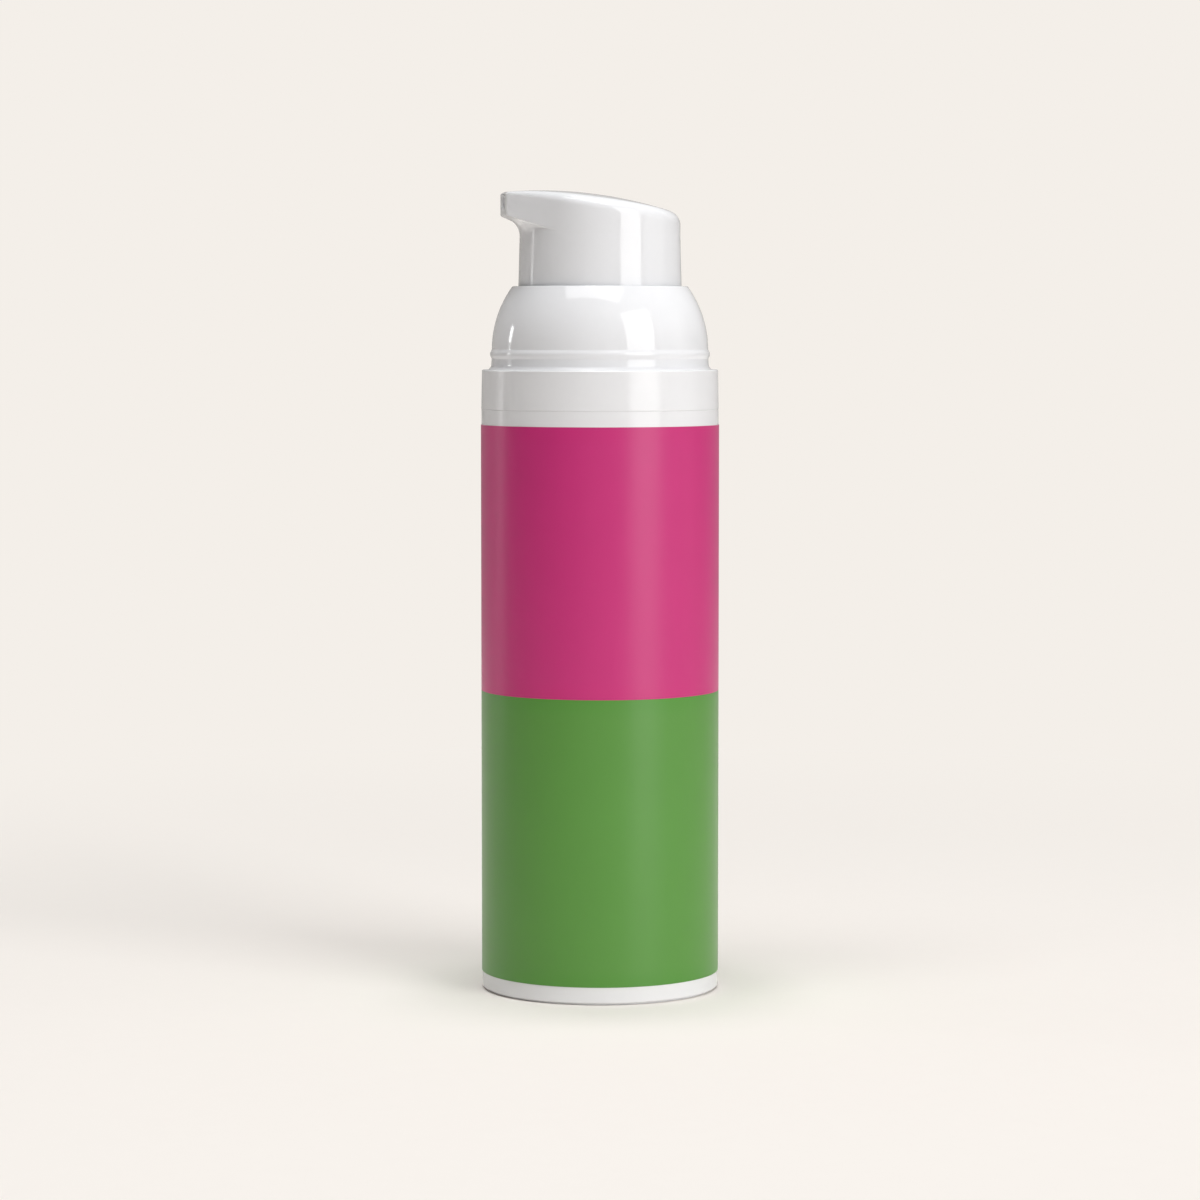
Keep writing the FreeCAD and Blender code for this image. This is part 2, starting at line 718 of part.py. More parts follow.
def valve_rod():
    """Poppet on a thin rod, with crossed fins above that press into the stem and leave it open."""
    body = turned_body("valve_rod", [
        ("0", "valve_head_foot"),
        ("valve_head_radius", "valve_head_foot"),
        ("valve_head_radius", "valve_head_top"),
        ("valve_rod_radius", "valve_head_top"),
        ("valve_rod_radius", "valve_rod_top"),
        ("0", "valve_rod_top"),
    ])
    half = "0.5 * valve_fin_width"
    for name, across, up in (("fin_one", "valve_fin_half", half), ("fin_two", half, "valve_fin_half")):
        plan = draw_outline(body, name + "_plan", "XY_Plane", [
            ("-(%s)" % across, "-(%s)" % up),
            (across, "-(%s)" % up),
            (across, up),
            ("-(%s)" % across, up),
        ], "stem_foot + valve_gap")
        push(body, name, plan, "valve_fin_length - valve_gap")
    return body


def stem():
    """Hollow plunger tube with a spring seat and a snap bead for the pump head."""
    return turned_body("stem", [
        ("stem_bore", "stem_foot"),
        ("stem_radius", "stem_foot"),
        ("stem_radius", "stem_seat_foot"),
        ("stem_seat_radius", "stem_seat_foot"),
        ("stem_seat_radius", "stem_seat_top"),
        ("stem_radius", "stem_seat_top"),
        ("stem_radius", "stem_bead_foot"),
        ("stem_radius + stem_bead_proud", "stem_bead_foot + 0.5 * stem_bead_width"),
        ("stem_radius", "stem_bead_top"),
        ("stem_radius", "stem_top"),
        ("stem_bore", "stem_top"),
    ])


def guide_cap():
    """Cap on the cylinder that guides the stem and seats the spring."""
    return turned_body("guide_cap", [
        ("guide_bore", "flange_top - guide_plug_depth"),
        ("guide_plug_radius", "flange_top - guide_plug_depth"),
        ("guide_plug_radius", "flange_top"),
        ("guide_flange_radius", "flange_top"),
        ("guide_flange_radius", "guide_top"),
        ("guide_collar_radius", "guide_top"),
        ("guide_collar_radius", "guide_top + guide_collar_height"),
        ("guide_bore", "guide_top + guide_collar_height"),
    ])


def return_spring():
    """Steel wire wound round the stem, between the guide cap and the stem's seat."""
    body = new_body("return_spring")
    wire = draw_circle(body, "wire_section", "XZ_Plane", "spring_radius",
                       "guide_top + spring_end_gap + spring_wire_radius", "spring_wire_radius")
    coil = body.newObject("PartDesign::AdditiveHelix", "coil")
    coil.Profile = wire
    coil.ReferenceAxis = (origin_feature(body, "Z_Axis"), [""])
    coil.Mode = "pitch-turns-angle"
    coil.setExpression("Pitch", bind("spring_pitch"))
    coil.setExpression("Turns", bind("spring_turns"))
    return body


def actuator_core():
    """Inner piece of the pump head: stem socket, carrying disc, ribs and the duct to the spout."""
    body = turned_body("actuator_core", [
        ("0", "core_foot"),
        ("socket_radius", "core_foot"),
        ("socket_radius", "core_disc_foot"),
        ("core_disc_radius", "core_disc_foot"),
        ("core_disc_radius", "core_disc_top"),
        ("socket_radius", "core_disc_top"),
        ("socket_radius", "core_top"),
        ("0", "core_top"),
    ])
    half = "0.5 * core_rib_width"
    rib_plan = draw_outline(body, "core_rib_plan", "XY_Plane", [
        ("socket_radius - overrun", "-" + half),
        ("shell_bore - 2 * head_gap", "-" + half),
        ("shell_bore - 2 * head_gap", half),
        ("socket_radius - overrun", half),
    ], "core_disc_foot")
    rib = push(body, "core_rib", rib_plan, "core_disc_thickness + core_rib_height")
    repeat_round(body, "core_ribs", rib, "core_rib_count")
    oblique_tube(body, "duct", "duct_radius", "-duct_radius", "duct_end")
    socket = draw_outline(body, "socket_section", "XZ_Plane", [
        ("0", "core_foot - overrun"),
        ("socket_bore", "core_foot - overrun"),
        ("socket_bore", "stem_bead_foot - head_gap"),
        ("socket_bore + stem_bead_proud", "stem_bead_foot - head_gap"),
        ("socket_bore + stem_bead_proud", "stem_bead_top + head_gap"),
        ("socket_bore", "stem_bead_top + head_gap"),
        ("socket_bore", "socket_top"),
        ("channel_radius", "socket_top"),
        ("channel_radius", "duct_root"),
        ("0", "duct_root"),
    ])
    turn(body, "socket", socket, "PartDesign::Groove")
    oblique_tube(body, "duct_bore_cut", "duct_bore", "0", "duct_end + overrun",
                 "PartDesign::SubtractiveLoft")
    return body


def cut_head_outside(body):
    """Cut the head block under the spout and over the falling top, and add the round skirt."""
    under = draw_outline(body, "spout_underside", "XZ_Plane", [
        ("-spout_back", "skirt_root - overrun"),
        ("-flank_reach", "skirt_root - overrun"),
        ("-flank_reach", "spout_foot - spout_slope * (spout_reach - flank_reach)"),
        ("-spout_back", "spout_foot + spout_slope * overrun"),
    ])
    push(body, "spout_underside_cut", under, "2 * head_back", "Symmetric", "PartDesign::Pocket")
    turn(body, "skirt", draw_outline(body, "skirt_section", "XZ_Plane", [
        ("0", "skirt_foot"),
        ("skirt_foot_radius", "skirt_foot"),
        ("skirt_root_radius", "skirt_root"),
        ("skirt_root_radius", "skirt_cap"),
        ("0", "skirt_cap"),
    ]))
    over = draw_outline(body, "crown_line", "XZ_Plane", [
        ("-spout_back", "crown_centre + sqrt(crown_curve_radius^2 - (spout_back - crown_peak_reach)^2)",
         "-crown_peak_reach", "crown_centre"),
        ("head_back", None),
        ("head_back", "head_top + 2 * overrun"),
        ("-spout_back", "head_top + 2 * overrun"),
    ])
    push(body, "crown_cut", over, "2 * head_back", "Symmetric", "PartDesign::Pocket")


def on_crown(edge):
    """Whether an edge runs along the rim of the head's top, the end of the spout left out."""
    points = [vertex.Point for vertex in edge.Vertexes]
    middle = 0.5 * (edge.FirstParameter + edge.LastParameter)
    points.append(edge.valueAt(middle))
    reach = value("crown_peak_reach")
    centre = value("crown_centre")
    radius = value("crown_curve_radius")
    on_top = all(near(math.hypot(point.x + reach, point.z - centre), radius) for point in points)
    return on_top and not at_tip(edge)


def at_tip(edge):
    """Whether an edge bounds the spout's end face."""
    box = edge.BoundBox
    return near(box.XMin, -value("spout_reach")) and near(box.XMax, -value("spout_reach"))


def along_mouth(edge):
    """Whether an edge is one of the four long corners of the mouth or of the insert in it."""
    box = edge.BoundBox
    level = near(box.YMin, box.YMax) and near(box.ZMin, box.ZMax)
    halves = (value("mouth_half_width"), value("insert_half_width"))
    at_side = any(near(abs(box.YMin), half) for half in halves)
    in_front = box.XMax < LEAST_EDGE_MATCH - value("mouth_floor")
    return level and at_side and in_front


def mouth_outline(body, name, half_width, half_height, offset):
    """Rectangle of the mouth, or of the insert, square to the spout."""
    return draw_outline(body, name, "YZ_Plane", [
        ("-" + half_width, "mouth_centre - " + half_height),
        (half_width, "mouth_centre - " + half_height),
        (half_width, "mouth_centre + " + half_height),
        ("-" + half_width, "mouth_centre + " + half_height),
    ], offset)


def hollow_head(body):
    """Cut the skirt's bore, the core's seat and snap ridge, the duct's slot and the spout's channel."""
    turn(body, "head_cavity", draw_outline(body, "cavity_section", "XZ_Plane", [
        ("0", "skirt_foot - overrun"),
        ("skirt_bore", "skirt_foot - overrun"),
        ("skirt_bore", "core_disc_foot - moulded_gap - snap_ridge_width"),
        ("skirt_bore - snap_ridge_proud", "core_disc_foot - moulded_gap"),
        ("skirt_bore", "core_disc_foot - moulded_gap"),
        ("skirt_bore", "core_disc_top"),
        ("shell_bore", "core_disc_top"),
        ("shell_bore", "shell_roof"),
        ("0", "shell_roof"),
    ]), "PartDesign::Groove")
    slot = draw_outline(body, "duct_slot_section", "XZ_Plane", [
        ("-duct_slot_end", "shell_roof - overrun"),
        ("duct_slot_half", "shell_roof - overrun"),
        ("duct_slot_half", duct_height("-duct_slot_half") + " + duct_slot_rise"),
        ("-duct_slot_end", duct_height("duct_slot_end") + " + duct_slot_rise"),
    ])
    push(body, "duct_slot", slot, "2 * duct_slot_half", "Symmetric", "PartDesign::Pocket")
    oblique_tube(body, "channel", "duct_bore", "duct_end", "mouth_floor + moulded_gap",
                 "PartDesign::SubtractiveLoft")
    mouth = mouth_outline(body, "mouth_plan", "mouth_half_width", "mouth_half_height", "-spout_back")
    push(body, "mouth", mouth, "mouth_depth + overrun", kind="PartDesign::Pocket", back=True)


def actuator_shell():
    """Outer piece of the pump head: round skirt, short spout with flat flanks and a falling top."""
    body = new_body("actuator_shell")
    plan = draw_outline(body, "head_plan", "XY_Plane", [
        ("-spout_reach", "spout_tip_half"),
        ("-spout_reach", "-spout_tip_half"),
        ("-flank_reach", "-flank_half", "0", "0"),
        ("0", None, "0", "0"),
        (None, "0", "0", "0"),
        ("0", None, "0", "0"),
        ("-flank_reach", None),
    ], "skirt_root")
    push(body, "head_block", plan, "head_top - skirt_root + overrun")
    cut_head_outside(body)
    round_edges(body, "crown_rounding", "crown_round", on_crown)
    round_edges(body, "tip_rounding", "tip_round", at_tip)
    hollow_head(body)
    round_edges(body, "spout_mouth_rounding", "mouth_corner", along_mouth)
    return body


def nozzle_insert():
    """Small plug with the orifice, set back in the spout's mouth."""
    body = new_body("nozzle_insert")
    plan = mouth_outline(body, "insert_plan", "insert_half_width", "insert_half_height", "-insert_face")
    push(body, "insert_plug", plan, "insert_length")
    round_edges(body, "insert_rounding", "mouth_corner - moulded_gap", along_mouth)
    orifice = draw_circle(body, "orifice_plan", "YZ_Plane", "0", "mouth_centre", "insert_bore",
                          "-insert_face - overrun")
    push(body, "orifice", orifice, "insert_length + 2 * overrun", kind="PartDesign::Pocket", back=True)
    return body


def build_all():
    """Every piece of the bottle, from the outside in and from the bottom up."""
    return [
        outer_sleeve(),
        film_band("label_lower_band", "film_foot", "film_boundary"),
        film_band("label_upper_band", "film_boundary", "film_top"),
        inner_cartridge(),
        base_cap(),
        follower_piston(),
        collar_ring(),
        dome_closure(),
        neck_gasket(),
        pump_housing(),
        ball_retainer(),
        inlet_ball(),
        metering_piston(),
        valve_rod(),
        stem(),
        guide_cap(),
        return_spring(),
        actuator_core(),
        actuator_shell(),
        nozzle_insert(),
    ]


def check_and_write(pieces):
    """Stop on any failed object or broken solid, then write each piece to its own file."""
    doc.recompute()
    for thing in doc.Objects:
        if "Invalid" in thing.State or "Error" in thing.State:
            raise RuntimeError("%s failed: %s" % (thing.Name, thing.State))
    for piece in pieces:
        if piece.Shape.isNull() or not piece.Shape.isValid() or len(piece.Shape.Solids) != 1:
            raise RuntimeError("%s is not one sound solid" % piece.Label)
    os.makedirs("parts", exist_ok=True)
    for piece in pieces:
        piece.Shape.exportStep("parts/%s.step" % piece.Label)


check_and_write(build_all())
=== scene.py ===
import math

import bpy
import numpy as np
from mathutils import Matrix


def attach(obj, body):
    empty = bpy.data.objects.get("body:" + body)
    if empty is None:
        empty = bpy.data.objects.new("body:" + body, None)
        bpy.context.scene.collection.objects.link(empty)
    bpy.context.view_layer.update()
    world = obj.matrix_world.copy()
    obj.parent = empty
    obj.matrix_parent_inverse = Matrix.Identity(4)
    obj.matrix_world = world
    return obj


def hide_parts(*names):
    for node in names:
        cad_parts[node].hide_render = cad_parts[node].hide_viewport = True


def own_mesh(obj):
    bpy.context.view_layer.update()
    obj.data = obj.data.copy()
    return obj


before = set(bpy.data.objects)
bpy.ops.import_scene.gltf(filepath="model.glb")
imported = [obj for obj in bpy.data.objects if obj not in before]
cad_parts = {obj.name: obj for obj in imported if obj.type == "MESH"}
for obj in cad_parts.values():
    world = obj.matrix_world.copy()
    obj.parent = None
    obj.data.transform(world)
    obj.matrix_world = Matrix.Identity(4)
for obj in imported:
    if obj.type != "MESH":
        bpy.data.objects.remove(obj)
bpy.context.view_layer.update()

# Camera. A long lens on a low tripod, a little above the collar and turned slightly towards the spout.
# It is tipped down so that the bottle's axis stands in the middle of the picture.
mm = 0.001
camera_turn = math.radians(-9.0)
camera_tip = math.radians(4.056)
camera_away = 603.18 * mm
camera_height = 103.4 * mm
lens = bpy.data.cameras.new("lens")
lens.sensor_width = 36.0
lens.lens = 116.4
lens.clip_start = 10 * mm
lens.clip_end = 20.0
camera = bpy.data.objects.new("camera", lens)
camera.location = (camera_away * math.sin(camera_turn), -camera_away * math.cos(camera_turn), camera_height)
camera.rotation_euler = (math.pi / 2 - camera_tip, 0.0, camera_turn)
bpy.context.scene.collection.objects.link(camera)
bpy.context.scene.camera = camera


# Floor. One wide sheet of warm white card, matt, that takes the bottle's soft shadow and runs on to the
# backdrop. Further out it gives off the backdrop's own colour, so that no line shows where they meet.
class Wire:
    """An output of a shading node. Sums written with it add the Math nodes that work them out."""

    def __init__(self, shading, socket):
        self.shading = shading
        self.socket = socket

    def work(self, operation, *values):
        return self.shading.node("ShaderNodeMath", {"operation": operation}, dict(enumerate(values)))

    def __add__(self, other):
        return self.work("ADD", self, other)

    def __radd__(self, other):
        return self.work("ADD", other, self)

    def __sub__(self, other):
        return self.work("SUBTRACT", self, other)

    def __rsub__(self, other):
        return self.work("SUBTRACT", other, self)

    def __mul__(self, other):
        return self.work("MULTIPLY", self, other)

    def __rmul__(self, other):
        return self.work("MULTIPLY", other, self)

    def larger(self, other):
        return self.work("MAXIMUM", self, other)

    def smaller(self, other):
        return self.work("MINIMUM", self, other)

    def step_from(self, low, high):
        """0 below low, 1 above high, and a smooth rise between them."""
        return self.shading.node("ShaderNodeMapRange", {"interpolation_type": "SMOOTHSTEP"}, {
            "Value": self, "From Min": low, "From Max": high})


class Shading:
    """The nodes of one finish, or of the world."""

    def __init__(self, owner):
        owner.use_nodes = True
        self.tree = owner.node_tree
        self.tree.nodes.clear()

    def node(self, kind, settings=None, sockets=None, out=0):
        """Adds one node: its settings first, then a value or a wire for each of its sockets."""
        made = self.tree.nodes.new(kind)
        for name, setting in (settings or {}).items():
            setattr(made, name, setting)
        for name, value in (sockets or {}).items():
            if isinstance(value, Wire):
                self.tree.links.new(value.socket, made.inputs[name])
            else:
                made.inputs[name].default_value = value
        return Wire(self, made.outputs[out])

    def blend(self, share, first, second):
        """The first colour where share is 0, the second where it is 1."""
        return self.node("ShaderNodeMix", {"data_type": "RGBA"}, {0: share, 6: first, 7: second}, 2)

    def noise(self, place, size, detail=2.0, stretch=(1.0, 1.0, 1.0)):
        """Cloudy 0 to 1 pattern with patches about size across, in metres, times stretch on each axis."""
        scale = tuple(1.0 / (size * s) for s in stretch)
        place = self.node("ShaderNodeMapping", {"vector_type": "POINT"}, {"Vector": place, "Scale": scale})
        return self.node("ShaderNodeTexNoise", {}, {"Vector": place, "Scale": 1.0, "Detail": detail})

    def place(self):
        """Where a point lies on the piece, in the bottle's own frame."""
        return self.node("ShaderNodeTexCoord", out="Object")

    def finish(self, surface, kind="ShaderNodeOutputMaterial"):
        last = self.tree.nodes.new(kind)
        self.tree.links.new(surface.socket, last.inputs["Surface"])


backdrop_colour = (0.904, 0.863, 0.815, 1.0)
shadow_room = 0.11
floor_run = 0.34
floor_radius = 0.62
floor_rings = 32
floor_sides = 96
floor_away = floor_radius * np.linspace(0, 1, floor_rings + 1)[1:, None]
floor_angle = np.linspace(0, 2 * math.pi, floor_sides, endpoint=False)
floor_points = np.stack([floor_away * np.cos(floor_angle), floor_away * np.sin(floor_angle),
                         0 * floor_away * floor_angle], axis=-1).reshape(-1, 3)
floor_points = np.concatenate([floor_points, np.zeros((1, 3))])
floor_here = np.arange(floor_sides)
floor_beside = (floor_here + 1) % floor_sides
floor_middle = np.full(floor_sides, floor_rings * floor_sides)
floor_inner = np.arange(floor_rings - 1)[:, None] * floor_sides
floor_outer = floor_inner + floor_sides
floor_faces = np.stack([floor_inner + floor_here, floor_outer + floor_here,
                        floor_outer + floor_beside, floor_inner + floor_beside], axis=-1)
floor_faces = floor_faces.reshape(-1, 4).tolist()
floor_faces += np.stack([floor_here, floor_beside, floor_middle], axis=-1).tolist()
floor_mesh = bpy.data.meshes.new("floor")
floor_mesh.from_pydata(floor_points.tolist(), [], floor_faces)
floor = bpy.data.objects.new("floor", floor_mesh)
bpy.context.scene.collection.objects.link(floor)

card = bpy.data.materials.new("warm_white_card")
shading = Shading(card)
spot = shading.place()
away = shading.node("ShaderNodeVectorMath", {"operation": "LENGTH"}, {0: spot}, "Value")
fibre = shading.noise(spot, 4 * mm, 3.0)
tone = shading.blend(fibre, (0.895, 0.855, 0.81, 1.0), (0.905, 0.865, 0.82, 1.0))
matt = shading.node("ShaderNodeBsdfPrincipled", {}, {
    "Base Color": tone, "Roughness": 1.0, "Specular IOR Level": 0.0})
glow = shading.node("ShaderNodeEmission", {}, {"Color": backdrop_colour})
seen = shading.node("ShaderNodeLightPath", out="Is Camera Ray")
far = away.step_from(shadow_room, floor_run) * seen
shading.finish(shading.node("ShaderNodeMixShader", {}, {0: far, 1: matt, 2: glow}))
floor_mesh.materials.append(card)

# Backdrop and room. The warm white backdrop is seen evenly lit behind the bottle and mirrored in its gloss,
# while the room on the camera's side mirrors darker. A weak, even light comes from all round.
room_front = 0.05
room_back = 0.45
room_light = 0.02
dark_until = -0.3
bright_from = 0.9
behind = (-math.sin(camera_turn), math.cos(camera_turn), 0.0)
world = bpy.data.worlds.new("studio_room")
bpy.context.scene.world = world
shading = Shading(world)
towards = shading.node("ShaderNodeTexCoord", out="Generated")
facing = shading.node("ShaderNodeVectorMath", {"operation": "DOT_PRODUCT"},
                      {0: towards, 1: behind}, "Value")
mirrored = shading.node("ShaderNodeLightPath", out="Is Glossy Ray")
level = (facing.step_from(dark_until, bright_from) * (room_back - room_front) + room_front) * mirrored
seen = shading.node("ShaderNodeLightPath", out="Is Camera Ray")
through = shading.node("ShaderNodeLightPath", out="Is Transmission Ray")
level = level.larger(seen.larger(through)).larger(room_light)
shading.finish(shading.node("ShaderNodeBackground", {}, {"Color": backdrop_colour, "Strength": level}),
               "ShaderNodeOutputWorld")


# Lamps. A tall softbox stands in front on the right, and a narrow strip lamp behind on the left with a
# dimmer length below it. A lamp hangs overhead and a wide diffuser above the camera, and two dim white
# reflectors fill the front and the right side. The upright ones reach below the table's top.
def panel(name, turn, rise, away, width, height, brightness):
    """A rectangular lamp at an angle to the right of the camera and above the floor, in degrees, that
    faces the bottle at aim_height. Its distance, width and height are in metres."""
    lamp = bpy.data.lights.new(name, "AREA")
    lamp.shape = "RECTANGLE"
    lamp.size = width
    lamp.size_y = height
    lamp.energy = brightness * math.pi * width * height
    placed = bpy.data.objects.new(name, lamp)
    turn = camera_turn + math.radians(turn)
    rise = math.radians(rise)
    back = (math.sin(turn) * math.cos(rise), -math.cos(turn) * math.cos(rise), math.sin(rise))
    placed.location = (away * back[0], away * back[1], away * back[2] + aim_height)
    placed.rotation_euler = (math.pi / 2 - rise, 0.0, turn)
    placed.visible_camera = False
    bpy.context.scene.collection.objects.link(placed)


aim_height = 75 * mm
panel("softbox", 44.5, 18.0, 2.4, 1.34, 1.9, 4.1)
panel("strip_lamp", -112.0, 9.6, 2.4, 0.20, 0.42, 9.5)
panel("strip_lamp_foot", -112.0, -2.6, 2.4, 0.20, 0.52, 2.8)
panel("front_reflector", 0.0, 10.0, 2.4, 1.6, 1.5, 0.32)
panel("side_reflector", 85.0, 10.0, 2.4, 1.6, 1.5, 0.64)
panel("overhead_lamp", 180.0, 87.0, 2.6, 0.9, 0.9, 15.3)
panel("overhead_diffuser", -14.0, 68.0, 2.6, 2.4, 1.0, 3.2)


# Body sleeve. A straight tube of satin white polypropylene, injection moulded. It stands on a foot ring
# set in a little from its rounded edge, and hangs on the inner vial's shoulder by a lip at the top.
def turn_between(along, onward):
    """Signed angle from each first side to its second one, both of length 1."""
    return np.arctan2(along[:, 0] * onward[:, 1] - along[:, 1] * onward[:, 0],
                      np.sum(along * onward, axis=1))


def corner_arc(corner, along, onward, rounding, steps):
    """Arcs that round many corners at once, (corner, step, 2). Each starts rounding * tan(turn / 2) before
    its corner and curls by turn, the angle between its two sides."""
    turn = turn_between(along, onward)
    reach = rounding * np.tan(np.abs(turn) / 2)
    inward = np.stack([-along[:, 1], along[:, 0]], axis=1) * np.sign(turn)[:, None]
    angle = np.abs(turn)[:, None] * np.linspace(0, 1, steps)
    start = corner - along * reach[:, None]
    return start[:, None] + rounding[:, None, None] * (np.sin(angle)[..., None] * along[:, None]
                                                       + (1 - np.cos(angle))[..., None] * inward[:, None])


def rounded_path(corners, steps=6):
    """Corners are (across, up, rounding) in millimetres. Each corner between the two ends becomes an arc
    of its rounding, with one more point on the straight side next to each of the arc's ends."""
    margin = 0.4
    corners = np.asarray(corners, float)
    place = corners[:, :2]
    side = np.diff(place, axis=0)
    side /= np.linalg.norm(side, axis=1, keepdims=True)
    along, onward = side[:-1], side[1:]
    rounding = corners[1:-1, 2]
    reach = (rounding * np.tan(np.abs(turn_between(along, onward)) / 2))[:, None]
    arcs = corner_arc(place[1:-1], along, onward, rounding, steps + 1)
    before = arcs[:, 0] - along * margin * rounding[:, None]
    after = place[1:-1] + onward * (reach + margin * rounding[:, None])
    arcs = np.concatenate([before[:, None], arcs, after[:, None]], axis=1).reshape(-1, 2)
    path = np.concatenate([place[:1], arcs, place[-1:]])
    kept = np.append(np.linalg.norm(np.diff(path, axis=0), axis=1) > 1e-6, True)
    return path[kept]


def skin(name, rows, closed=False, first_pole=None, last_pole=None):
    """A mesh from rows of points in millimetres, (row, point in the row, xyz). Each row is a closed ring,
    and neighbouring rings are joined by quads. The rows close on themselves, or end in a pole point at
    each end. Edges that turn by more than 38 degrees are shaded sharp."""
    count, around = rows.shape[:2]
    points = rows.reshape(-1, 3)
    low = np.arange(count if closed else count - 1)
    high = (low + 1) % count
    here = np.arange(around)
    beside = (here + 1) % around
    faces = np.stack([low[:, None] * around + here, low[:, None] * around + beside,
                      high[:, None] * around + beside, high[:, None] * around + here], axis=-1)
    faces = faces.reshape(-1, 4).tolist()
    if first_pole is not None:
        pole = np.full(around, len(points))
        points = np.concatenate([points, [first_pole]])
        faces += np.stack([pole, beside, here], axis=-1).tolist()
    if last_pole is not None:
        pole = np.full(around, len(points))
        points = np.concatenate([points, [last_pole]])
        ring = (count - 1) * around
        faces += np.stack([ring + here, ring + beside, pole], axis=-1).tolist()
    mesh = bpy.data.meshes.new(name)
    mesh.from_pydata((points * mm).tolist(), [], faces)
    mesh.polygons.foreach_set("use_smooth", np.ones(len(mesh.polygons), bool))
    mesh.set_sharp_from_angle(angle=math.radians(38.0))
    mesh.update()
    piece = bpy.data.objects.new(name, mesh)
    bpy.context.scene.collection.objects.link(piece)
    return piece


def turned(name, section, around=176):
    """A ring turned from a closed section of (radius, height) points: each point goes round the bottle's
    axis on a circle. The section's last point repeats its first."""
    angle = np.linspace(0, 2 * math.pi, around, endpoint=False)
    radius, height = section[:-1, 0][:, None], section[:-1, 1][:, None]
    rows = np.stack([radius * np.cos(angle), radius * np.sin(angle), height + 0 * angle], axis=-1)
    return skin(name, rows, closed=True)


def moulded(name, colour, roughness, grain, grain_depth, clouding=0.02, specular=0.5):
    """Moulded plastic: a slightly uneven tone, faint flow clouds, rubbed patches, a fine surface grain of
    the given size and depth in metres, and a few hairline scuffs."""
    material = bpy.data.materials.new(name)
    shading = Shading(material)
    spot = shading.place()
    clouds = shading.noise(spot, 14 * mm, 3.0, (1.0, 1.0, 2.5))
    flecks = shading.noise(spot, 0.9 * mm, 2.0)
    uneven = clouds * 0.7 + flecks * 0.3
    dark = tuple(c * (1 - clouding) for c in colour) + (1.0,)
    light = tuple(min(c * (1 + clouding), 1.0) for c in colour) + (1.0,)
    tone = shading.blend(uneven, dark, light)
    rubbed = shading.noise(spot, 5 * mm, 4.0)
    scuffs = shading.noise(spot, 0.35 * mm, 1.0, (1.0, 1.0, 40.0)).step_from(0.66, 0.74)
    rough = rubbed * (0.25 * roughness) + scuffs * 0.05 + 0.87 * roughness
    fine = shading.noise(spot, grain, 2.0)
    wavy = shading.noise(spot, 6 * mm, 1.0)
    height = fine * grain_depth + wavy * (0.6 * grain_depth) - scuffs * (0.25 * grain_depth)
    bump = shading.node("ShaderNodeBump", {}, {"Strength": 1.0, "Distance": 1.0, "Height": height})
    shading.finish(shading.node("ShaderNodeBsdfPrincipled", {}, {
        "Base Color": tone, "Roughness": rough, "Normal": bump, "Specular IOR Level": specular,
        "IOR": 1.49}))
    return material


sleeve_radius = 18.4
sleeve_wall = 1.0
foot_inset = 0.6
foot_step = 0.28
sleeve_height = 90.4
sleeve_lip_bore = 16.3
sleeve_lip_foot = 89.0
sleeve_seam = 40.0
sleeve_section = rounded_path([
    (sleeve_radius - sleeve_wall, sleeve_seam, 0),
    (sleeve_radius - sleeve_wall, 0.0, 0.2),
    (sleeve_radius - foot_inset, 0.0, 0.05),
    (sleeve_radius - foot_inset, foot_step, 0.05),
    (sleeve_radius, foot_step, 0.24),
    (sleeve_radius, sleeve_height, 0.10),
    (sleeve_lip_bore, sleeve_height, 0.1),
    (sleeve_lip_bore, sleeve_lip_foot, 0.1),
    (sleeve_radius - sleeve_wall, sleeve_lip_foot, 0.1),
    (sleeve_radius - sleeve_wall, sleeve_seam, 0),
])
satin_white = moulded("satin_white_polypropylene", (0.86, 0.86, 0.875), 0.20, 0.12 * mm, 0.0022 * mm)
sleeve = turned("body_sleeve", sleeve_section)
sleeve.data.materials.append(satin_white)
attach(sleeve, "bottle")
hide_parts("outer_sleeve")


# Label films. Two bands of satin printed polypropylene film, green below and pink above, edge to edge,
# glued round the sleeve. Each goes once round and laps over its own start in a narrow strip at the back.
def wrapped_film(name, foot, top):
    """A thin strip carried clockwise once round the sleeve and on by the lap. Its section is a rounded
    rectangle, film thick and foot to top tall, and it steps out by one layer as it comes over its start."""
    seam = foot + 1.0
    section = rounded_path([(0.0, seam, 0), (0.0, foot, 0.02), (film_thickness, foot, 0.03),
                            (film_thickness, top, 0.03), (0.0, top, 0.02), (0.0, seam, 0)], 3)[:-1]
    whole_turn = 2 * math.pi
    gone = np.linspace(0, whole_turn + film_lap / film_radius, 240)
    start_of_step = whole_turn - film_lap_ramp / film_radius
    step = np.clip((gone - start_of_step) * film_radius / film_lap_ramp, 0, 1)
    layer = (film_thickness + film_glue) * step * step * (3 - 2 * step)
    angle = math.pi / 2 + 0.5 * film_lap / film_radius - gone
    radius = film_radius + layer[:, None] + section[:, 0]
    height = section[:, 1] + 0 * radius
    rows = np.stack([radius * np.cos(angle)[:, None], radius * np.sin(angle)[:, None], height], axis=-1)
    return skin(name, rows, first_pole=rows[0].mean(axis=0), last_pole=rows[-1].mean(axis=0))


